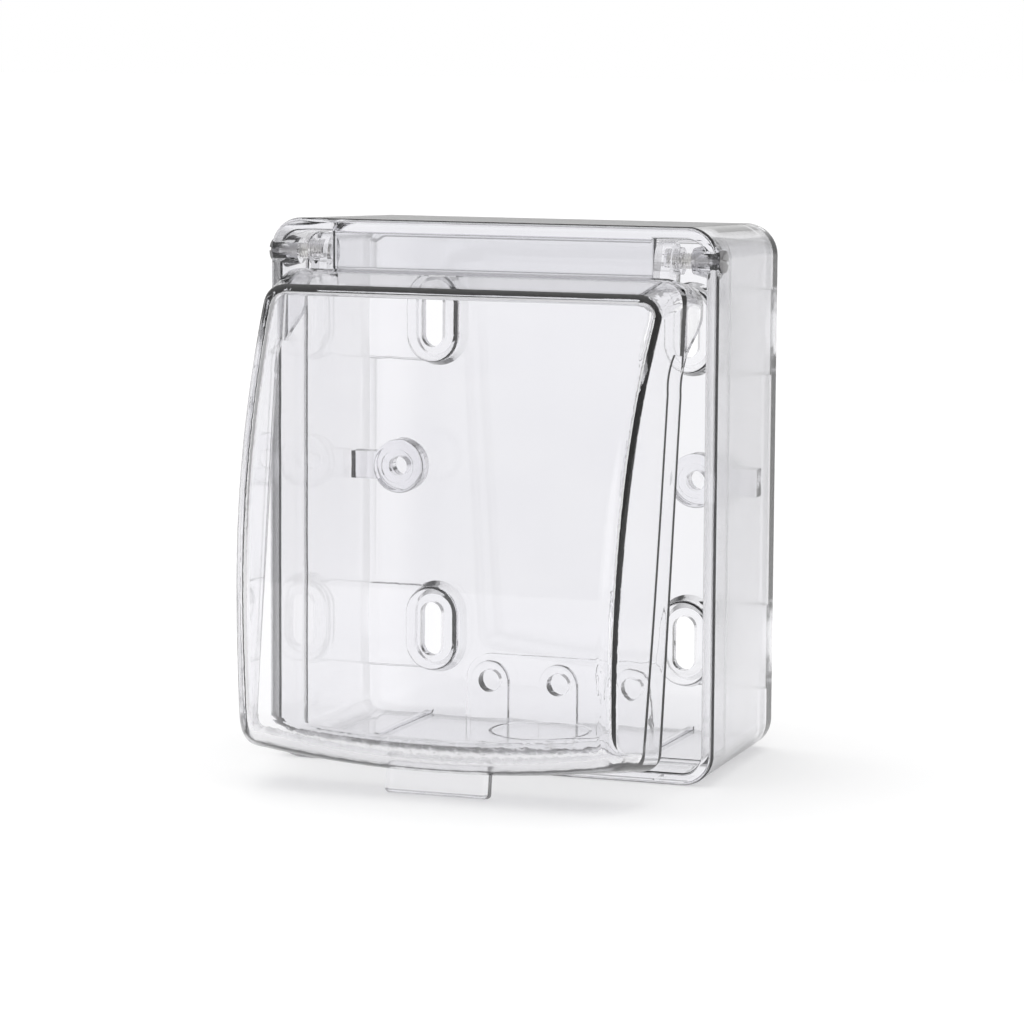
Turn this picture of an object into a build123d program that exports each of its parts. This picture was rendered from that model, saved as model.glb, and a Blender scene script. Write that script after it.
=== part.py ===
from build123d import *
import os

os.makedirs("parts", exist_ok=True)

# Weatherproof socket cover: a clear box that is screwed to a wall, with a
# clear bulging lid that swings up on two hinge screws.
# Millimetres. X runs to the right, Z up, the wall is at Y = 0 and the
# front of the box faces -Y. Z = 0 is half-way up the box.
# The lid is drawn with its rim parallel to the rim of the box and then
# swung out to where it rests when the box stands on a table.

# Box, outside
BOX_WIDTH = 87.6
BOX_HEIGHT = 102.2
BOX_DEPTH = 44.2
BOX_TAPER = 1.4            # each side stands in by this much at the wall
BOX_TOP_FALL = 1.4         # the top is this much lower at the wall
BOX_CORNER = 6.0
BOX_BACK_ROUND = 2.0
BOX_RIM_ROUND = 0.7
INNER_RIM_ROUND = 0.4

# Box, walls
BOX_WALL = 2.3
BACK_WALL = 2.4
LEDGE_WIDTH = 0.6          # the walls are thicker behind the ledge
LEDGE_DEPTH = 10.6
LEDGE_ROUND = 0.3
INNER_CORNER = 2.8         # behind the ledge
INNER_BACK_ROUND = 1.4

# Header strip that closes the front between the two hinges
HEADER_SIDE = 12.4         # from the side of the box to the end of the strip
HEADER_THICK = 2.4
HEADER_ROUND = 0.5
HEADER_DROP = 9.5          # its lower edge, below the top of the box

# Hinge
HINGE_DEPTH = 2.6          # behind the rim of the box
HINGE_DROP = 6.3           # below the top of the box
SCREW_RADIUS = 1.45
SCREW_RUN = 0.06           # running gap round the screw in the box
SCREW_BITE = 0.05          # how deep the thread bites into the lid
HEAD_RADIUS = 2.1
HEAD_HEIGHT = 0.8
HEAD_GAP = 0.06
HEAD_SLOT = 0.6
SEAT_GAP = 0.2
SEAT_SUNK = 0.35           # flat seat for the screw head, below the side of the box
SCREW_TIP_ROOM = 0.3
SCREW_REACH = 10.2         # from the side of the box to the tip of the screw
HINGE_BOSS_REACH = 5.3     # from the side of the box to the inner end of the cone
HINGE_BOSS_TIP = 2.4
HINGE_BOSS_FOOT = 3.5

# Lid, closed, seen from the side
LID_WALL = 2.0
LID_GAP = 4.6              # room for a socket's face plate on the box rim
LID_FULLEST = 0.44         # where the face is fullest, as a share of the box's height
LID_BULGE = 26.13          # how far it stands out there
LID_LEAN = 1.03
LID_CURVE = 9.53
LID_TWIST = 1.36
LID_TOP_EDGE_DROP = 14.4   # front top edge, below the top of the box
LID_TOP_REAR_DROP = 10.2
LID_TOP_REAR_OUT = 4.6
LID_TAIL_OUT = 1.3
LID_AJAR = 8.64            # degrees
LIP_WALL = 1.0             # a step inside leaves a thin lip along the rim
LIP_DEPTH = 4.5
LIP_DROP = 24.0            # the lip ends here, below the top of the box
EAR_REAR = 5.5             # the ears reach this far behind the rim of the box
EAR_DROP = 16.7            # rear lower corner of the ears, below the top of the box
EAR_FOOT_DROP = 31.2       # where the curve of the ears runs into the lid's rim
EAR_CURVE = ((0, 0), (0.337, 0.228), (0.743, 0.448), (0.97, 0.69), (1, 1))
KNUCKLE_RADIUS = 3.5
KNUCKLE_LENGTH = 3.1
KNUCKLE_SIDE = 7.5         # from the side of the box to the outer end of the knuckle's collar
COLLAR_RADIUS = 2.5
COLLAR_LENGTH = 1.3
EAR_CUT_RADIUS = 4.6

# Lid, seen from the front
LID_SIDE_GAP = 4.1         # from the side of the box to the lid's rim
LID_NARROWING = (6.0, 4.7, 3.5, 3.2)     # at the face, at four levels
LID_NARROWING_LEVELS = (0.04, 0.2, 0.44, 0.7)  # as shares of the box's height
LID_FRONT_PLANE = 28.0
LID_SIDE_THINNING = 0.95   # the sides are this much thinner at the face
LID_BOTTOM_MIDDLE = 1.2
LID_BOTTOM_CORNER = 4.2
LID_BOTTOM_ROUND = 8.0     # between the face and the bottom
LID_TOP_CORNER = 4.6
LID_EDGE_ROUND = 3.4
LID_INNER_ROUND = 1.4

# Pull tab under the lid
TAB_HALF = 10.0
TAB_FRONT = 12.6
TAB_THICK = 3.0
TAB_LOW = -3.05
TAB_HIGH = 2.6
TAB_ROUND = 0.9

# Slots for the wall screws
SLOT_PITCH_X = 51.8
SLOT_PITCH_Z = 60.4
SLOT_WIDTH = 4.4
SLOT_LENGTH = 10.6
SLOT_LIFT = -0.9           # middle of the four slots above the box middle
PAD_WIDTH = 10.6
PAD_LENGTH = 16.3
PAD_RISE = 6.0             # front of the pads, off the wall
PAD_DRAFT = 14.0           # degrees, the pads are wider at their foot
PAD_ROUND = 0.5
PAD_PLATE = 2.4            # the pads are hollow from behind up to this plate
PAD_WALL = 1.4
STRAP_STEP = 1.6           # the straps are this much lower than the pads
STRAP_ROUND = 0.6

# Brackets for the socket's own screws: a round eye on a neck from the side wall
DEVICE_PITCH = 60.3
DEVICE_LIFT = 1.4
EYE_RADIUS = 5.2
EYE_RISE = 13.6            # front of the eyes, off the wall
EYE_THICK = 4.4
EYE_ROUND = 0.7
EYE_DISH_RADIUS = 3.3
EYE_DISH = 0.5
DEVICE_HOLE_RADIUS = 1.9
NECK_HEIGHT = 5.3
NECK_STEP = 0.5            # the neck is this much lower than the eye

# Low bosses and raised band at the foot of the back wall
FOOT_BOSS_PITCH = 14.2
FOOT_BOSS_HEIGHT = 10.2
FOOT_BOSS_RADIUS = 3.9
FOOT_BOSS_RISE = 2.2
FOOT_BOSS_ROUND = 0.4
FOOT_HOLE_RADIUS = 2.2
FOOT_HOLE_DEEP = 2.6
BAND_HEIGHT = 15.4
BAND_RISE = 1.0

# Thin ring in the bottom wall that can be knocked out for a cable
KNOCKOUT_RADIUS = 10.0
KNOCKOUT_FROM_WALL = 14.2
KNOCKOUT_RING = 0.6
KNOCKOUT_CUT = 0.8
FLOOR_RIB_X = 27.0
FLOOR_RIB_THICK = 1.0
FLOOR_RIB_RISE = 0.7

FRONT = -BOX_DEPTH
BOTTOM = -BOX_HEIGHT / 2
TOP = BOX_HEIGHT / 2
SIDE = BOX_WIDTH / 2
HINGE_Y = FRONT + HINGE_DEPTH
HINGE_Z = TOP - HINGE_DROP
INNER_BACK = -BACK_WALL
DEVICE_Z = DEVICE_LIFT
SLOT_ROWS = (SLOT_LIFT - SLOT_PITCH_Z / 2, SLOT_LIFT + SLOT_PITCH_Z / 2)
HEADER_HALF = SIDE - HEADER_SIDE
KNUCKLE_OUT = SIDE - KNUCKLE_SIDE
KNUCKLE_IN = KNUCKLE_OUT - COLLAR_LENGTH - KNUCKLE_LENGTH
SEAT_X = SIDE - SEAT_SUNK
LID_HALF_REAR = SIDE - LID_SIDE_GAP
LID_TOP_EDGE = TOP - LID_TOP_EDGE_DROP
LID_TOP_REAR = TOP - LID_TOP_REAR_DROP


def block(x0, x1, y0, y1, z0, z1):
    middle = Pos((x0 + x1) / 2, (y0 + y1) / 2, (z0 + z1) / 2)
    return middle * Box(x1 - x0, y1 - y0, z1 - z0)


def round_into_wall(x, z, radius, y0, y1):
    return Pos(x, (y0 + y1) / 2, z) * Rotation(90, 0, 0) * Cylinder(radius, y1 - y0)


def round_across(radius, x0, x1):
    return Pos((x0 + x1) / 2, HINGE_Y, HINGE_Z) * Rotation(0, 90, 0) * Cylinder(radius, x1 - x0)


def round_upward(x, y, radius, z0, z1):
    return Pos(x, y, (z0 + z1) / 2) * Cylinder(radius, z1 - z0)


def upright(y):
    return Plane((0, y, 0), x_dir=(1, 0, 0), z_dir=(0, -1, 0))


def half_width(depth):
    """Half width of the box, outside, at a depth behind the rim."""
    return SIDE - BOX_TAPER * depth / BOX_DEPTH


def top_level(depth):
    return TOP - BOX_TOP_FALL * depth / BOX_DEPTH


def tapering_block(near, far, inset, corner):
    """A block with the taper of the box, from one depth behind the rim to another."""
    near_half = half_width(near) - inset
    far_half = half_width(far) - inset
    plan = Polygon((-near_half, FRONT + near), (near_half, FRONT + near),
                   (far_half, FRONT + far), (-far_half, FRONT + far), align=None)
    side = Polygon((FRONT + near, BOTTOM + inset), (FRONT + far, BOTTOM + inset),
                   (FRONT + far, top_level(far) - inset), (FRONT + near, top_level(near) - inset),
                   align=None)
    shape = extrude(plan, BOX_HEIGHT, both=True) & extrude(Plane.YZ * side, BOX_WIDTH, both=True)
    corners = [e for e in shape.edges() if e.bounding_box().size.Y > (far - near) / 2]
    return fillet(corners, corner)


# The box: tapering outside, rounded back, two steps inside
box = tapering_block(0, BOX_DEPTH, 0, BOX_CORNER)
box = fillet(box.faces().sort_by(Axis.Y)[-1].edges(), BOX_BACK_ROUND)
box = fillet(box.faces().sort_by(Axis.Y)[0].edges(), BOX_RIM_ROUND)
front_hollow = tapering_block(-1, LEDGE_DEPTH, BOX_WALL, BOX_CORNER - BOX_WALL)
deep_inset = BOX_WALL + LEDGE_WIDTH
deep_hollow = tapering_block(LEDGE_DEPTH - 1, BOX_DEPTH - BACK_WALL, deep_inset, INNER_CORNER)
deep_hollow = fillet(deep_hollow.faces().sort_by(Axis.Y)[-1].edges(), INNER_BACK_ROUND)
box = box - front_hollow - deep_hollow
ledge_y = FRONT + LEDGE_DEPTH
ledge = box.faces().filter_by_position(Axis.Y, ledge_y - 0.1, ledge_y + 0.1)[0]
box = fillet(ledge.inner_wires()[0].edges(), LEDGE_ROUND)
rim = box.faces().sort_by(Axis.Y)[0]
box = fillet(rim.inner_wires()[0].edges(), INNER_RIM_ROUND)

# Everything that stands on the walls inside is kept within the box walls
shell = tapering_block(0, BOX_DEPTH - 0.2, BOX_WALL / 2, BOX_CORNER - BOX_WALL / 2)
inner_parts = []

# Header strip
header = block(-HEADER_HALF, HEADER_HALF, FRONT, FRONT + HEADER_THICK,
               TOP - HEADER_DROP, TOP - BOX_WALL / 2)
inner_parts.append(fillet(header.edges(), HEADER_ROUND))

# Pads of the wall slots: a strap from the side wall that ends in an oval pad
PAD_Y = -PAD_RISE


def oval(x, y, z, length, width, depth, draft):
    """An upright oval that grows wider on its way to the wall."""
    start = Plane((x, y, z), x_dir=(0, 0, 1), z_dir=(0, 1, 0))
    return extrude(start * SlotOverall(length, width), depth, taper=-draft)


for side in (-1, 1):
    for row in SLOT_ROWS:
        x = side * SLOT_PITCH_X / 2
        far = side * SIDE
        pad = oval(x, PAD_Y, row, PAD_LENGTH, PAD_WIDTH, PAD_RISE - BACK_WALL + 1, PAD_DRAFT)
        inner_parts.append(fillet(pad.faces().sort_by(Axis.Y)[0].edges(), PAD_ROUND))
        strap = block(min(x, far), max(x, far), PAD_Y + STRAP_STEP, INNER_BACK + 1,
                      row - PAD_LENGTH / 2, row + PAD_LENGTH / 2)
        inner_parts.append(fillet(strap.faces().sort_by(Axis.Y)[0].edges(), STRAP_ROUND))

# Brackets for the socket's screws
EYE_Y = -EYE_RISE
for side in (-1, 1):
    x = side * DEVICE_PITCH / 2
    far = side * SIDE
    eye = round_into_wall(x, DEVICE_Z, EYE_RADIUS, EYE_Y, EYE_Y + EYE_THICK)
    eye = fillet(eye.edges().filter_by(GeomType.CIRCLE), EYE_ROUND)
    neck = block(min(x, far), max(x, far), EYE_Y + NECK_STEP, EYE_Y + EYE_THICK - NECK_STEP,
                 DEVICE_Z - NECK_HEIGHT / 2, DEVICE_Z + NECK_HEIGHT / 2)
    inner_parts.append(eye + neck)

# Low bosses with straight legs, and the raised band behind them
foot_z = BOTTOM + FOOT_BOSS_HEIGHT
foot_y = INNER_BACK - FOOT_BOSS_RISE
foot_places = (-FOOT_BOSS_PITCH, 0, FOOT_BOSS_PITCH)
for x in foot_places:
    foot = round_into_wall(x, foot_z, FOOT_BOSS_RADIUS, foot_y, INNER_BACK + 1)
    foot = foot + block(x - FOOT_BOSS_RADIUS, x + FOOT_BOSS_RADIUS, foot_y, INNER_BACK + 1, BOTTOM, foot_z)
    inner_parts.append(fillet(foot.faces().sort_by(Axis.Y)[0].edges(), FOOT_BOSS_ROUND))
band_top = BOTTOM + BAND_HEIGHT
band_round = BAND_HEIGHT - FOOT_BOSS_HEIGHT
band_y = INNER_BACK - BAND_RISE
inner_parts.append(round_into_wall(-FOOT_BOSS_PITCH, foot_z, band_round, band_y, INNER_BACK + 1))
inner_parts.append(block(-FOOT_BOSS_PITCH, SIDE, band_y, INNER_BACK + 1, BOTTOM, band_top))
inner_parts.append(block(-FOOT_BOSS_PITCH - band_round, SIDE, band_y, INNER_BACK + 1,
                         BOTTOM, foot_z))

# Low ribs along the floor
for side in (-1, 1):
    x = side * FLOOR_RIB_X
    inner_parts.append(block(x - FLOOR_RIB_THICK / 2, x + FLOOR_RIB_THICK / 2,
                             FRONT + LEDGE_DEPTH + 2, INNER_BACK + 1,
                             BOTTOM, BOTTOM + deep_inset + FLOOR_RIB_RISE))

# Cones that carry the hinge screws
for side in (-1, 1):
    foot = SIDE - BOX_WALL / 2
    length = HINGE_BOSS_REACH - BOX_WALL / 2
    cone = Cone(HINGE_BOSS_FOOT, HINGE_BOSS_TIP, length)
    place = Pos(side * (foot - length / 2), HINGE_Y, HINGE_Z) * Rotation(0, -90 * side, 0)
    inner_parts.append(place * cone)

for part in inner_parts:
    box = box + (part & shell)

# Slots, screw holes and the ring of the knock-out
for side in (-1, 1):
    for row in SLOT_ROWS:
        x = side * SLOT_PITCH_X / 2
        box = box - oval(x, PAD_Y - 1, row, SLOT_LENGTH, SLOT_WIDTH, PAD_RISE + 2, 0)
        box = box - oval(x, PAD_Y + PAD_PLATE, row, PAD_LENGTH - 2 * PAD_WALL, PAD_WIDTH - 2 * PAD_WALL,
                         PAD_RISE - PAD_PLATE + 1, PAD_DRAFT)
    x = side * DEVICE_PITCH / 2
    box = box - round_into_wall(x, DEVICE_Z, DEVICE_HOLE_RADIUS, EYE_Y - 1, EYE_Y + EYE_THICK + 1)
    box = box - round_into_wall(x, DEVICE_Z, EYE_DISH_RADIUS, EYE_Y - 1, EYE_Y + EYE_DISH)
for x in foot_places:
    box = box - round_into_wall(x, foot_z, FOOT_HOLE_RADIUS, foot_y - 1, foot_y + FOOT_HOLE_DEEP)
floor_y = -KNOCKOUT_FROM_WALL
floor_top = BOTTOM + deep_inset
ring = round_upward(0, floor_y, KNOCKOUT_RADIUS, floor_top - KNOCKOUT_CUT, floor_top + 0.2)
ring = ring - round_upward(0, floor_y, KNOCKOUT_RADIUS - KNOCKOUT_RING, BOTTOM, BOTTOM + 20)
box = box - ring

# Bores and head seats of the hinge screws
for side in (-1, 1):
    ends = sorted((side * (SIDE - HINGE_BOSS_REACH - 1), side * (SIDE + 1)))
    box = box - round_across(SCREW_RADIUS + SCREW_RUN, *ends)
    ends = sorted((side * SEAT_X, side * (SIDE + 1)))
    box = box - round_across(HEAD_RADIUS + SEAT_GAP, *ends)


# The lid, first as a solid shape and then hollowed with the same shape made smaller
lid_half_height = LID_FULLEST * BOX_HEIGHT
lid_middle = BOTTOM + lid_half_height


def face_out(z):
    """How far the face stands out in front of the box rim at a height, lid closed."""
    u = (z - lid_middle) / lid_half_height
    return LID_BULGE - LID_LEAN * u - LID_CURVE * u ** 2 - LID_TWIST * u ** 3


def side_shape(inset):
    """The lid seen from the side, as a bar across the whole width."""
    face_height = LID_TOP_EDGE - BOTTOM
    levels = [BOTTOM + share * face_height for share in (-0.02, 0.14, 0.32, 0.5, 0.68, 0.84, 1.08)]
    face = [(FRONT - face_out(z) + inset, z) for z in levels]
    rear = FRONT + EAR_REAR + 3 * inset
    curve = Spline(*face)
    if inset:
        outline = [curve, Polyline(face[-1], (rear, face[-1][1]), (rear, face[0][1]), face[0])]
    else:
        ear_height = EAR_FOOT_DROP - EAR_DROP
        ear = [(rear - across * (EAR_REAR + LID_GAP), TOP - EAR_DROP - down * ear_height)
               for across, down in EAR_CURVE]
        outline = [curve,
                   Polyline(face[-1], (rear, face[-1][1]), ear[0]),
                   Spline(*ear),
                   Polyline(ear[-1], (FRONT - LID_GAP, face[0][1]), face[0])]
    return extrude(Plane.YZ.offset(-SIDE) * make_face(outline), BOX_WIDTH)


def front_shape(inset):
    """The lid seen from the front, lower and narrower at the face than at the rim."""
    sections = []
    straight = (0,) * len(LID_NARROWING)
    edge_out = face_out(LID_TOP_EDGE)
    fall = (LID_TOP_REAR - LID_TOP_EDGE) / (edge_out - LID_TOP_REAR_OUT)
    front_top = LID_TOP_REAR - fall * (LID_FRONT_PLANE - LID_TOP_REAR_OUT)
    for out, narrowing, top, thin in ((LID_GAP - BOX_DEPTH, straight, LID_TOP_REAR, 1),
                                      (LID_TOP_REAR_OUT, straight, LID_TOP_REAR, 1),
                                      (LID_FRONT_PLANE, LID_NARROWING, front_top, LID_SIDE_THINNING)):
        side = [(LID_HALF_REAR - n - inset * thin, BOTTOM + share * BOX_HEIGHT)
                for n, share in zip(narrowing, LID_NARROWING_LEVELS)]
        side.append((side[-1][0], top - LID_TOP_CORNER))
        shoulder = (side[-1][0] + inset * thin - LID_TOP_CORNER, top - inset)
        top_corner = (side[-1][0], top - inset)
        side[0] = (side[0][0], BOTTOM + LID_BOTTOM_CORNER + inset)
        middle = (0, BOTTOM + LID_BOTTOM_MIDDLE + inset)
        left = [(-x, z) for x, z in side]
        outline = [Spline(*side),
                   ThreePointArc(side[0], middle, left[0]),
                   Spline(*left),
                   Bezier(left[-1], (-top_corner[0], top_corner[1]), (-shoulder[0], shoulder[1])),
                   Line((-shoulder[0], shoulder[1]), shoulder),
                   Bezier(shoulder, top_corner, side[-1])]
        sections.append(upright(FRONT - out) * make_face(outline))
    return loft(sections[:2], ruled=True) + loft(sections[1:], ruled=True)


def rounded(shape, bottom_round, edge_round):
    """Rounds the long edge between face and bottom, then the edges round the face and bottom."""
    foot = [e for e in shape.edges() if e.bounding_box().max.Y < FRONT - 8
            and e.bounding_box().size.X > SIDE and e.center().Z < lid_middle]
    shape = fillet(foot, bottom_round)
    edges = [e for e in shape.edges() if not (e.bounding_box().size.X > SIDE and e.center().Z < lid_middle)]
    round_face = [e for e in edges if e.bounding_box().max.Y < FRONT - 8]
    under_sides = [e for e in edges if e.center().Z < BOTTOM + 9 and e.bounding_box().size.Y > 12
                   and e.bounding_box().min.Y < FRONT - 8 and e not in round_face]
    return fillet(round_face + under_sides, edge_round)


solid_lid = rounded(side_shape(0) & front_shape(0), LID_BOTTOM_ROUND, LID_EDGE_ROUND)
lid_hollow = side_shape(LID_WALL) & front_shape(LID_WALL)
lid_hollow = rounded(lid_hollow, LID_BOTTOM_ROUND - LID_WALL, LID_INNER_ROUND)
lid = solid_lid - lid_hollow

# Thin lip along the rim of the sides and bottom
lip = side_shape(LIP_WALL) & front_shape(LIP_WALL)
lip = lip - Pos(0, -LIP_DEPTH, 0) * side_shape(0)
lid = lid - (lip & block(-SIDE, SIDE, FRONT - 20, FRONT + 20, BOTTOM - 5, TOP - LIP_DROP))

# Between the hinges the top stops just short of the header strip
lid = lid - block(-KNUCKLE_IN, KNUCKLE_IN, FRONT - LID_TAIL_OUT, FRONT + BOX_DEPTH,
                  LID_TOP_REAR - 2 * LID_WALL, TOP)

# Knuckles that the hinge screws are driven into
for side in (-1, 1):
    ends = sorted((side * KNUCKLE_IN, side * (KNUCKLE_OUT - COLLAR_LENGTH)))
    knuckle = round_across(KNUCKLE_RADIUS, *ends)
    knuckle = knuckle + block(*ends, HINGE_Y - KNUCKLE_RADIUS, HINGE_Y + KNUCKLE_RADIUS - 0.6,
                              LID_TOP_REAR - LID_WALL, HINGE_Z)
    ends = sorted((side * (KNUCKLE_OUT - COLLAR_LENGTH), side * SIDE))
    lid = lid - round_across(EAR_CUT_RADIUS, *ends)
    ends = sorted((side * (KNUCKLE_IN + KNUCKLE_LENGTH / 2), side * KNUCKLE_OUT))
    lid = lid + knuckle + round_across(COLLAR_RADIUS, *ends)
    ends = sorted((side * (SIDE - SCREW_REACH - SCREW_TIP_ROOM), side * SIDE))
    lid = lid - round_across(SCREW_RADIUS - SCREW_BITE, *ends)

# Pull tab
tab = block(-TAB_HALF, TAB_HALF, FRONT - TAB_FRONT, FRONT - TAB_FRONT + TAB_THICK,
            BOTTOM + TAB_LOW, BOTTOM + TAB_HIGH)
tab = fillet(tab.edges(), TAB_ROUND)
lid = lid + tab

# Hinge screws: shank, low head with a slot
screws = {}
for name, side in (("hinge_screw_left", -1), ("hinge_screw_right", 1)):
    under_head = SEAT_X + HEAD_GAP
    ends = sorted((side * (SIDE - SCREW_REACH), side * (under_head + HEAD_HEIGHT / 4)))
    screw = round_across(SCREW_RADIUS, *ends)
    ends = sorted((side * under_head, side * (under_head + HEAD_HEIGHT)))
    screw = screw + round_across(HEAD_RADIUS, *ends)
    ends = sorted((side * (under_head + HEAD_HEIGHT / 2), side * (under_head + 2 * HEAD_HEIGHT)))
    screw = screw - block(*ends, HINGE_Y - 2 * HEAD_RADIUS, HINGE_Y + 2 * HEAD_RADIUS,
                          HINGE_Z - HEAD_SLOT / 2, HINGE_Z + HEAD_SLOT / 2)
    screws[name] = screw

# Swing the lid and its screws out to where the tab touches the table
hinge_line = Axis((0, HINGE_Y, HINGE_Z), (1, 0, 0))
lid = lid.rotate(hinge_line, -LID_AJAR)
for name in screws:
    screws[name] = screws[name].rotate(hinge_line, -LID_AJAR)

export_step(box, "parts/box.step")
export_step(lid, "parts/lid.step")
for name, screw in screws.items():
    export_step(screw, "parts/" + name + ".step")
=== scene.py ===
import math

import bmesh
import bpy
from mathutils import Matrix, Vector


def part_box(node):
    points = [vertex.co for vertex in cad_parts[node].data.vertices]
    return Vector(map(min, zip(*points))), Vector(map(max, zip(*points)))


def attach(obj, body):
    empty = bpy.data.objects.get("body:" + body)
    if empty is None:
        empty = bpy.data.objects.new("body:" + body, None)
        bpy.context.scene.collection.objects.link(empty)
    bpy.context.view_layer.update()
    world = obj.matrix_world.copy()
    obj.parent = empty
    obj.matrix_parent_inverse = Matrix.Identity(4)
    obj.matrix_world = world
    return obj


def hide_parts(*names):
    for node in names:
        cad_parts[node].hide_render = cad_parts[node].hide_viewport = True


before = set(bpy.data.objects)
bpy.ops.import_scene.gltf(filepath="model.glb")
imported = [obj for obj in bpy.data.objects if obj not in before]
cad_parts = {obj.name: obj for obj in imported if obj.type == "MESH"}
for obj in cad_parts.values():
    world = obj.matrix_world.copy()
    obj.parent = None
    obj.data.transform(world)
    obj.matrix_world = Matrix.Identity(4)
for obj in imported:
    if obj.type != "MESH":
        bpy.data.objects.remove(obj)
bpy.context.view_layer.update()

# Clear plastic. A shadow share is the part of the light that one surface lets through to the table.
PLASTIC_IOR = 1.56
CLEARNESS = 0.996
BOX_FLOW = (1, 1, 0.35)
BOX_TINTS = ((0.935, 0.933, 0.955), (0.955, 0.953, 0.971))
BOX_SHADOW_SHARE = 0.72
LID_FLOW = (0.35, 1, 1)
LID_TINTS = ((0.965, 0.963, 0.98), (0.985, 0.983, 0.994))
LID_SHADOW_SHARE = 0.89
# Painted shade: a greyer tint laid on the box's header strip and the middle of its back wall
PAINTED_SHADE_TINT = (0.84, 0.84, 0.865)
DEPTH_TINT = (0.7, 0.69, 0.79)
DEPTH_DENSITY = 3.0
WAVE_DEPTH = 0.000022
GRAIN_DEPTH = 0.0000006
POLISHED_TO_RUBBED = (0.006, 0.035)
FLOW_MARK_DULLNESS = 0.012
SATIN_SIDES = 0.17
WORN_FOOT = 0.1

# Screw steel
METAL_SHARE = 0.85
STEEL_TINTS = ((0.92, 0.91, 0.9), (0.99, 0.985, 0.98))
HEAD_TINT = (0.3, 0.295, 0.3)
STEEL_ROUGHNESS = (0.1, 0.26)
RING_DEPTH = 0.000004
PLATING_DEPTH = 0.000006

# Where a finish or painted shade starts and is full on the pieces, in metres
SIDE_FACE = (0.0418, 0.0421)
BEHIND_RIM = (-0.0436, -0.0428)
# The header strip and the back panel below carry painted shade, not a finish
HEADER_FOOT = (0.036, 0.0375)
HEADER_BACK = (-0.037, -0.039)
PANEL_EDGE = (0.036, 0.028)
PANEL_FRONT = (-0.012, -0.008)
PANEL_SHADE_SHARE = 0.6
LID_FOOT = (-0.036, -0.042)
SCREW_HEAD = (0.0422, 0.0426)

# Hinge screws
LID_AJAR = math.radians(8.64)
THREAD_PITCH = 0.0005
THREAD_DEPTH = 0.0003
THREAD_STEPS = 20
SHANK_RADIUS = 0.00145
SHANK_SIDES = 48
POINT_LENGTH = 0.0003
POINT_TAPER = 0.75
THREAD_AFTER_TIP = 0.0002
THREAD_BEFORE_NECK = 0.0016
PLAIN_NECK = 0.0017
NECK_INTO_HEAD = 0.0001
HEAD_RADIUS = 0.0021
HEAD_HEIGHT = 0.0008
HEAD_ROUND = 0.00022
SLOT_WIDTH = 0.0006
SLOT_DEPTH = 0.0004
SHARP_EDGE = math.radians(38)
SAME_POINT = 0.000002
NEAR = 0.00001

# Table: paper that is white in a wedge, which starts before the object and widens behind it
TABLE_TOP = -0.0511
TABLE_GAP = 0.00005
TABLE_REACH = 8.0
PAPER_COLOUR = 0.7
PAPER_GLOW = 0.32
PAPER_THROUGH = 0.35
FLOOR_ASIDE = 0.72
WEDGE_START = 0.35
WEDGE_LEAST = 0.1
WEDGE_SLOPE = (0.16, 0.4)
PAPER_FRONT = (0.28, 0.6)

# Room: how bright it is, and the directions in which each part starts and is full
SWEEP_ACROSS = (0.8, 0.95)
SWEEP_UP = (0.25, 0.5)
HORIZON = (0.05, 0.12)
HORIZON_LEVEL = 0.5
ROOM_BESIDE = 0.42
ROOM_ABOVE = 0.75
ABOVE_UP = (0.3, 0.95)
ROOM_BEFORE = 0.38
BEFORE_ACROSS = (0.2, 0.8)
FRONT_SOFTBOX = 0.75
SOFTBOX_ACROSS = (0.82, 0.93)
CEILING_ENERGY = 1.5
CEILING_SPREAD = math.radians(60)
CEILING_DIRECTION = (0.2, 0.03, -1)

# Camera
CAMERA_SENSOR = 36.0
CAMERA_LENS = 139.2
CAMERA_PLACE = (0.252354, -0.724983, 0.088187)
CAMERA_AZIMUTH = math.radians(20.0)
CAMERA_PITCH = math.radians(7.11)
CAMERA_ROLL = math.radians(0.33)


def new_material(name):
    material = bpy.data.materials.new(name)
    material.use_nodes = True
    tree = material.node_tree
    tree.nodes.clear()
    output = tree.nodes.new("ShaderNodeOutputMaterial")
    return material, tree, output


def link(tree, source, target):
    tree.links.new(source, target)


def number(tree, operation, first, second=None):
    made = tree.nodes.new("ShaderNodeMath")
    made.operation = operation
    for value, socket in zip((first, second), made.inputs):
        if isinstance(value, (int, float)):
            socket.default_value = value
        elif value is not None:
            link(tree, value, socket)
    return made.outputs[0]


def fade(tree, value, start, end, low=0.0, high=1.0):
    """Low before start, high after end, and a soft step between them."""
    made = tree.nodes.new("ShaderNodeMapRange")
    made.interpolation_type = "SMOOTHSTEP"
    link(tree, value, made.inputs["Value"])
    made.inputs["From Min"].default_value = start
    made.inputs["From Max"].default_value = end
    made.inputs["To Min"].default_value = low
    made.inputs["To Max"].default_value = high
    return made.outputs["Result"]


def place_on_piece(tree, stretch=(1, 1, 1)):
    """Places on the piece in metres, drawn out or squeezed along its axes."""
    place = tree.nodes.new("ShaderNodeTexCoord")
    scaled = tree.nodes.new("ShaderNodeMapping")
    scaled.inputs["Scale"].default_value = stretch
    link(tree, place.outputs["Object"], scaled.inputs["Vector"])
    return scaled.outputs[0]


def apart(tree, place):
    """The X, Y and Z of a place or direction."""
    made = tree.nodes.new("ShaderNodeSeparateXYZ")
    link(tree, place, made.inputs[0])
    return made.outputs["X"], made.outputs["Y"], made.outputs["Z"]


def clouds(tree, place, scale, detail, turn=0.0):
    """Soft uneven grey between 0 and 1."""
    made = tree.nodes.new("ShaderNodeTexNoise")
    made.inputs["Scale"].default_value = scale
    made.inputs["Detail"].default_value = detail
    made.inputs["Distortion"].default_value = turn
    link(tree, place, made.inputs["Vector"])
    return made.outputs["Fac"]


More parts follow.
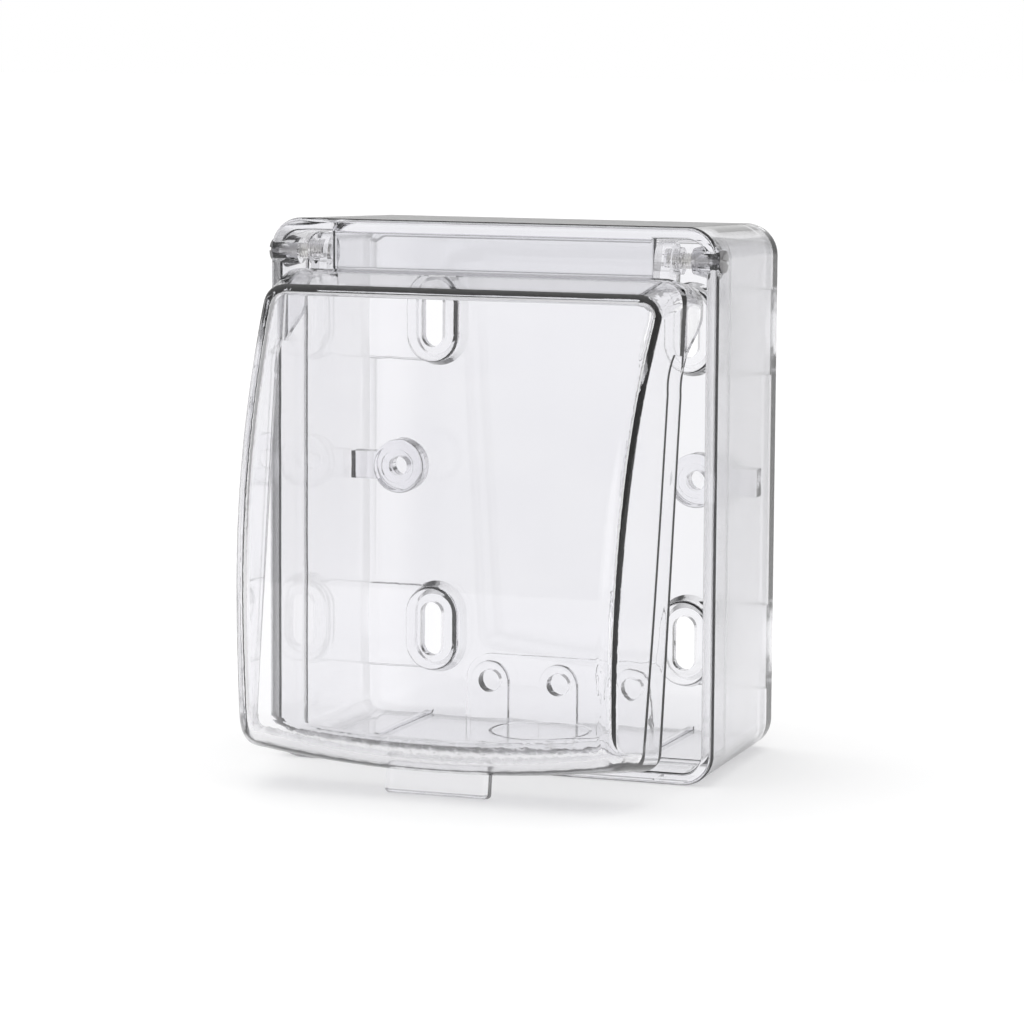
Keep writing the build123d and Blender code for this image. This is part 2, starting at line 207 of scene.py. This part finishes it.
def between(tree, share, first, second):
    """The first colour where the share is 0, the second where it is 1."""
    made = tree.nodes.new("ShaderNodeMix")
    made.data_type = "RGBA"
    link(tree, share, made.inputs[0])
    for colour, socket in ((first, made.inputs[6]), (second, made.inputs[7])):
        if isinstance(colour, tuple):
            socket.default_value = (*colour, 1)
        else:
            link(tree, colour, socket)
    return made.outputs[2]


def relief(tree, height, depth, strength=1.0, under=None):
    """Fine bumps of a depth in metres, on top of those under them."""
    made = tree.nodes.new("ShaderNodeBump")
    made.inputs["Distance"].default_value = depth
    made.inputs["Strength"].default_value = strength
    link(tree, height, made.inputs["Height"])
    if under is not None:
        link(tree, under, made.inputs["Normal"])
    return made.outputs["Normal"]


def either(tree, share, first, second):
    """The first shader where the share is 0, the second where it is 1."""
    made = tree.nodes.new("ShaderNodeMixShader")
    link(tree, share, made.inputs["Fac"])
    link(tree, first.outputs[0], made.inputs[1])
    link(tree, second.outputs[0], made.inputs[2])
    return made


def satin_sides(tree):
    """Dull on the outer faces of the box's two sides."""
    across, depth, _ = apart(tree, place_on_piece(tree))
    outside = fade(tree, number(tree, "ABSOLUTE", across), *SIDE_FACE)
    behind_rim = fade(tree, depth, *BEHIND_RIM)
    return number(tree, "MULTIPLY", number(tree, "MULTIPLY", outside, behind_rim), SATIN_SIDES)


def worn_foot(tree):
    """Dull along the lid's foot, where it is held and set down."""
    return fade(tree, apart(tree, place_on_piece(tree))[2], *LID_FOOT, 0.0, WORN_FOOT)


def painted_shade_places(tree):
    """Where shade is painted: 1 on the header strip over the lid, less on the middle of the back wall, 0
    elsewhere.
    """
    across, depth, height = apart(tree, place_on_piece(tree))
    strip = number(tree, "MULTIPLY", fade(tree, height, *HEADER_FOOT), fade(tree, depth, *HEADER_BACK))
    middle = fade(tree, number(tree, "ABSOLUTE", across), *PANEL_EDGE)
    panel = number(tree, "MULTIPLY", middle, fade(tree, depth, *PANEL_FRONT))
    return number(tree, "MAXIMUM", strip, number(tree, "MULTIPLY", panel, PANEL_SHADE_SHARE))


def clear_plastic(name, flow, tints, shadow_share, dull_places, painted_shade=False):
    """Polished clear moulding: faint cool tint, flow marks, soft waves and fine rub marks, and, where
    asked, painted shade on the header strip and back wall.
    """
    material, tree, output = new_material(name)
    surface = tree.nodes.new("ShaderNodeBsdfPrincipled")
    surface.inputs["IOR"].default_value = PLASTIC_IOR
    surface.inputs["Transmission Weight"].default_value = CLEARNESS
    flow_marks = clouds(tree, place_on_piece(tree, flow), scale=60, detail=3, turn=0.6)
    tint = between(tree, fade(tree, flow_marks, 0.3, 0.7), *tints)
    # Painted shade: the header strip and back wall are darkened in the tint
    if painted_shade:
        tint = between(tree, painted_shade_places(tree), tint, PAINTED_SHADE_TINT)
    link(tree, tint, surface.inputs["Base Color"])
    rubbed = clouds(tree, place_on_piece(tree, (1, 1, 0.15)), scale=2500, detail=2)
    polish = number(tree, "ADD", fade(tree, rubbed, 0.5, 0.8, *POLISHED_TO_RUBBED),
                    fade(tree, flow_marks, 0.4, 0.8, 0.0, FLOW_MARK_DULLNESS))
    link(tree, number(tree, "ADD", polish, dull_places(tree)), surface.inputs["Roughness"])
    waves = clouds(tree, place_on_piece(tree, flow), scale=45, detail=1, turn=0.3)
    grain = clouds(tree, place_on_piece(tree), scale=900, detail=2)
    shape = relief(tree, grain, GRAIN_DEPTH, under=relief(tree, waves, WAVE_DEPTH))
    link(tree, shape, surface.inputs["Normal"])
    shade = tree.nodes.new("ShaderNodeBsdfTransparent")
    shade.inputs["Color"].default_value = (shadow_share, shadow_share, shadow_share + 0.01, 1)
    path = tree.nodes.new("ShaderNodeLightPath")
    lit = either(tree, path.outputs["Is Shadow Ray"], surface, shade)
    link(tree, lit.outputs[0], output.inputs["Surface"])
    depth = tree.nodes.new("ShaderNodeVolumeAbsorption")
    depth.inputs["Color"].default_value = (*DEPTH_TINT, 1)
    depth.inputs["Density"].default_value = DEPTH_DENSITY
    link(tree, depth.outputs["Volume"], output.inputs["Volume"])
    return material


def plated_steel(name):
    """Bright zinc-plated steel: fine turning rings, uneven plating, and darker, weathered heads."""
    material, tree, output = new_material(name)
    surface = tree.nodes.new("ShaderNodeBsdfPrincipled")
    surface.inputs["Metallic"].default_value = METAL_SHARE
    plating = clouds(tree, place_on_piece(tree), scale=900, detail=4, turn=0.5)
    bright = between(tree, fade(tree, plating, 0.3, 0.7), *STEEL_TINTS)
    across = apart(tree, place_on_piece(tree))[0]
    heads = fade(tree, number(tree, "ABSOLUTE", across), *SCREW_HEAD)
    link(tree, between(tree, heads, bright, HEAD_TINT), surface.inputs["Base Color"])
    turned = clouds(tree, place_on_piece(tree, (1, 0.04, 0.04)), scale=9000, detail=2)
    link(tree, fade(tree, turned, 0.3, 0.75, *STEEL_ROUGHNESS), surface.inputs["Roughness"])
    uneven = relief(tree, plating, PLATING_DEPTH, strength=0.5)
    shape = relief(tree, turned, RING_DEPTH, strength=0.8, under=uneven)
    link(tree, shape, surface.inputs["Normal"])
    link(tree, surface.outputs["BSDF"], output.inputs["Surface"])
    return material


def dress(piece, material):
    piece.data.materials.clear()
    piece.data.materials.append(material)


def new_piece(name, mesh):
    data = bpy.data.meshes.new(name)
    mesh.to_mesh(data)
    mesh.free()
    piece = bpy.data.objects.new(name, data)
    bpy.context.scene.collection.objects.link(piece)
    return piece


def rod(mesh, radius, start, end):
    made = bmesh.ops.create_cone(mesh, cap_ends=True, segments=SHANK_SIDES, radius1=radius, radius2=radius,
                                 depth=end - start)["verts"]
    bmesh.ops.rotate(mesh, verts=made, cent=(0, 0, 0), matrix=Matrix.Rotation(math.pi / 2, 3, "Y"))
    bmesh.ops.translate(mesh, verts=made, vec=((start + end) / 2, 0, 0))
    return made


def at_end(edge, place):
    return all(abs(v.co.x - place) < NEAR for v in edge.verts)


def thread(start, end):
    """A screw thread along X, cut off square and closed at both ends."""
    mesh = bmesh.new()
    turns = math.ceil((end - start) / THREAD_PITCH) + 2
    crest, root = SHANK_RADIUS, SHANK_RADIUS - THREAD_DEPTH
    outline = ((0, root), (0.12, root), (0.44, crest), (0.68, crest), (1, root))
    points = [mesh.verts.new((start + (share - 1.5) * THREAD_PITCH, 0, level)) for share, level in outline]
    lines = [mesh.edges.new(pair) for pair in zip(points, points[1:])]
    bmesh.ops.spin(mesh, geom=points + lines, cent=(0, 0, 0), axis=(1, 0, 0),
                   dvec=(THREAD_PITCH / THREAD_STEPS, 0, 0), angle=2 * math.pi * turns,
                   steps=THREAD_STEPS * turns)
    bmesh.ops.remove_doubles(mesh, verts=mesh.verts, dist=SAME_POINT)
    for place, outward in ((start, -1), (end, 1)):
        bmesh.ops.bisect_plane(mesh, geom=[*mesh.verts, *mesh.edges, *mesh.faces], plane_co=(place, 0, 0),
                               plane_no=(outward, 0, 0), clear_outer=True)
        open_edges = [e for e in mesh.edges if e.is_boundary and at_end(e, place)]
        bmesh.ops.holes_fill(mesh, edges=open_edges, sides=0)
    return mesh


def slotted_head(start, end):
    """A round head with a softened rim and a straight slot along Y."""
    mesh = bmesh.new()
    rod(mesh, HEAD_RADIUS, start, end)
    rim = [e for e in mesh.edges if at_end(e, end)]
    bmesh.ops.bevel(mesh, geom=rim, offset=HEAD_ROUND, offset_type="OFFSET", affect="EDGES", segments=4,
                    profile=0.5, material=-1)
    floor, half = end - SLOT_DEPTH, SLOT_WIDTH / 2
    for spot, facing in (((floor, 0, 0), (1, 0, 0)), ((0, 0, half), (0, 0, 1)), ((0, 0, -half), (0, 0, 1))):
        bmesh.ops.bisect_plane(mesh, geom=[*mesh.verts, *mesh.edges, *mesh.faces], plane_co=spot,
                               plane_no=facing)
    strip = [f for f in mesh.faces if abs(f.calc_center_median().z) < half - NEAR
             and f.calc_center_median().x > floor + NEAR]
    bmesh.ops.delete(mesh, geom=strip, context="FACES")
    for side in (-1, 1):
        wall = [v for v in mesh.verts if abs(v.co.z - side * half) < NEAR / 2
                and v.co.x > floor - NEAR / 2 and any(e.is_boundary for e in v.link_edges)]
        edges = [e for e in mesh.edges if e.is_boundary and all(v in wall for v in e.verts)]
        bmesh.ops.contextual_create(mesh, geom=edges + wall)
    bmesh.ops.holes_fill(mesh, edges=[e for e in mesh.edges if e.is_boundary], sides=0)
    return mesh


def hinge_screw(name, side, steel):
    """One whole screw, laid along the hinge line with its head outside the box."""
    low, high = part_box(name)
    tip, top = (low.x, high.x) if side > 0 else (-high.x, -low.x)
    neck = top - HEAD_HEIGHT
    mesh = bmesh.new()
    threaded = thread(tip + THREAD_AFTER_TIP, neck - THREAD_BEFORE_NECK)
    for made in (threaded, slotted_head(neck, top)):
        data = bpy.data.meshes.new("part")
        made.to_mesh(data)
        made.free()
        mesh.from_mesh(data)
        bpy.data.meshes.remove(data)
    point = rod(mesh, SHANK_RADIUS - THREAD_DEPTH, tip, tip + POINT_LENGTH)
    bmesh.ops.scale(mesh, verts=[v for v in point if abs(v.co.x - tip) < NEAR],
                    vec=(1, POINT_TAPER, POINT_TAPER))
    rod(mesh, SHANK_RADIUS, neck - PLAIN_NECK, neck + NECK_INTO_HEAD)
    turn = Matrix.Rotation(0 if side > 0 else math.pi, 4, "Z")
    bmesh.ops.transform(mesh, verts=mesh.verts, matrix=Matrix.Rotation(-LID_AJAR, 4, "X") @ turn)
    bmesh.ops.translate(mesh, verts=mesh.verts, vec=(0, (low.y + high.y) / 2, (low.z + high.z) / 2))
    bmesh.ops.recalc_face_normals(mesh, faces=mesh.faces)
    for face in mesh.faces:
        face.smooth = True
    for edge in mesh.edges:
        edge.smooth = edge.calc_face_angle(0) < SHARP_EDGE
    screw = new_piece("threaded_" + name, mesh)
    dress(screw, steel)
    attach(screw, "lid_body")
    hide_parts(name)


def studio_places(tree, coordinate):
    """Places or directions in the studio, which stands turned to the object: X across, Y back, Z up."""
    place = tree.nodes.new("ShaderNodeTexCoord")
    turn = tree.nodes.new("ShaderNodeMapping")
    turn.inputs["Rotation"].default_value = (0, 0, -CAMERA_AZIMUTH)
    link(tree, place.outputs[coordinate], turn.inputs["Vector"])
    return apart(tree, turn.outputs[0])


def white_paper_sweep():
    """White paper, and beside and before it a greyer floor that shows in the pieces only."""
    material, tree, output = new_material("white_paper_sweep")
    matt = tree.nodes.new("ShaderNodeBsdfDiffuse")
    matt.inputs["Color"].default_value = (PAPER_COLOUR, PAPER_COLOUR, PAPER_COLOUR, 1)
    glow = tree.nodes.new("ShaderNodeEmission")
    glow.inputs["Strength"].default_value = PAPER_GLOW
    paper = tree.nodes.new("ShaderNodeAddShader")
    link(tree, matt.outputs[0], paper.inputs[0])
    link(tree, glow.outputs[0], paper.inputs[1])
    white = tree.nodes.new("ShaderNodeEmission")
    aside = tree.nodes.new("ShaderNodeBsdfDiffuse")
    aside.inputs["Color"].default_value = (FLOOR_ASIDE, FLOOR_ASIDE, FLOOR_ASIDE, 1)
    across, back, _ = studio_places(tree, "Object")
    reach = number(tree, "MAXIMUM", number(tree, "ADD", back, WEDGE_START), WEDGE_LEAST)
    beside = fade(tree, number(tree, "DIVIDE", number(tree, "ABSOLUTE", across), reach), *WEDGE_SLOPE)
    before = fade(tree, number(tree, "MULTIPLY", back, -1.0), *PAPER_FRONT)
    path = tree.nodes.new("ShaderNodeLightPath")
    unseen = number(tree, "SUBTRACT", 1.0, path.outputs["Is Camera Ray"])
    away = number(tree, "MULTIPLY", number(tree, "MAXIMUM", beside, before), unseen)
    through = number(tree, "MULTIPLY", path.outputs["Is Transmission Ray"], PAPER_THROUGH)
    sheet = either(tree, away, either(tree, through, paper, white), aside)
    link(tree, sheet.outputs[0], output.inputs["Surface"])
    return material


def table_top():
    mesh = bmesh.new()
    bmesh.ops.create_grid(mesh, x_segments=1, y_segments=1, size=TABLE_REACH)
    bmesh.ops.translate(mesh, verts=mesh.verts, vec=(0, 0, TABLE_TOP - TABLE_GAP))
    table = new_piece("table_top", mesh)
    dress(table, white_paper_sweep())


def surroundings():
    """The white sweep behind, a greyer room beside and above, and a soft light before the object."""
    world = bpy.data.worlds.new("studio")
    bpy.context.scene.world = world
    world.use_nodes = True
    tree = world.node_tree
    tree.nodes.clear()
    output = tree.nodes.new("ShaderNodeOutputWorld")
    _, back, up = studio_places(tree, "Generated")
    front = number(tree, "MULTIPLY", back, -1.0)
    low = number(tree, "SUBTRACT", 1.0, fade(tree, up, *SWEEP_UP))
    sweep = number(tree, "MULTIPLY", fade(tree, back, *SWEEP_ACROSS), low)
    sweep = number(tree, "MULTIPLY", sweep, fade(tree, up, *HORIZON, HORIZON_LEVEL, 1.0))
    above = number(tree, "MULTIPLY", fade(tree, up, *ABOVE_UP), ROOM_ABOVE - ROOM_BESIDE)
    before = number(tree, "MULTIPLY", fade(tree, front, *BEFORE_ACROSS), ROOM_BESIDE - ROOM_BEFORE)
    level = number(tree, "SUBTRACT", number(tree, "ADD", above, ROOM_BESIDE), before)
    level = number(tree, "MAXIMUM", level, sweep)
    softbox = number(tree, "MULTIPLY", fade(tree, front, *SOFTBOX_ACROSS), FRONT_SOFTBOX)
    level = number(tree, "ADD", level, softbox)
    path = tree.nodes.new("ShaderNodeLightPath")
    level = number(tree, "MAXIMUM", level, path.outputs["Is Camera Ray"])
    room = tree.nodes.new("ShaderNodeBackground")
    room.inputs["Color"].default_value = (1, 1, 1, 1)
    link(tree, level, room.inputs["Strength"])
    link(tree, room.outputs[0], output.inputs["Surface"])


def ceiling_light():
    lamp = bpy.data.lights.new("ceiling_light", "SUN")
    lamp.energy = CEILING_ENERGY
    lamp.angle = CEILING_SPREAD
    ceiling = bpy.data.objects.new("ceiling_light", lamp)
    ceiling.rotation_mode = "QUATERNION"
    ceiling.rotation_quaternion = Vector(CEILING_DIRECTION).to_track_quat("-Z", "Y")
    ceiling.visible_glossy = False
    ceiling.visible_transmission = False
    bpy.context.scene.collection.objects.link(ceiling)


def camera():
    data = bpy.data.cameras.new("camera")
    data.sensor_width = CAMERA_SENSOR
    data.lens = CAMERA_LENS
    data.clip_start, data.clip_end = 0.05, 20.0
    lens = bpy.data.objects.new("camera", data)
    ahead = Vector((-math.sin(CAMERA_AZIMUTH) * math.cos(CAMERA_PITCH),
                    math.cos(CAMERA_AZIMUTH) * math.cos(CAMERA_PITCH), -math.sin(CAMERA_PITCH)))
    right = Vector((math.cos(CAMERA_AZIMUTH), math.sin(CAMERA_AZIMUTH), 0))
    up = right.cross(ahead)
    turned_right = math.cos(CAMERA_ROLL) * right + math.sin(CAMERA_ROLL) * up
    turned_up = math.cos(CAMERA_ROLL) * up - math.sin(CAMERA_ROLL) * right
    turn = Matrix((turned_right, turned_up, -ahead)).transposed()
    lens.matrix_world = Matrix.Translation(CAMERA_PLACE) @ turn.to_4x4()
    bpy.context.scene.collection.objects.link(lens)
    bpy.context.scene.camera = lens


# The box plastic gets painted shade on its header strip and back wall
dress(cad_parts["box"],
      clear_plastic("clear_box_plastic", BOX_FLOW, BOX_TINTS, BOX_SHADOW_SHARE, satin_sides, painted_shade=True))
dress(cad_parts["lid"],
      clear_plastic("clear_lid_plastic", LID_FLOW, LID_TINTS, LID_SHADOW_SHARE, worn_foot))
screw_steel = plated_steel("bright_screw_steel")
for name, side in (("hinge_screw_left", -1), ("hinge_screw_right", 1)):
    hinge_screw(name, side, screw_steel)
table_top()
surroundings()
ceiling_light()
camera()
bpy.context.scene.view_settings.view_transform = "Standard"
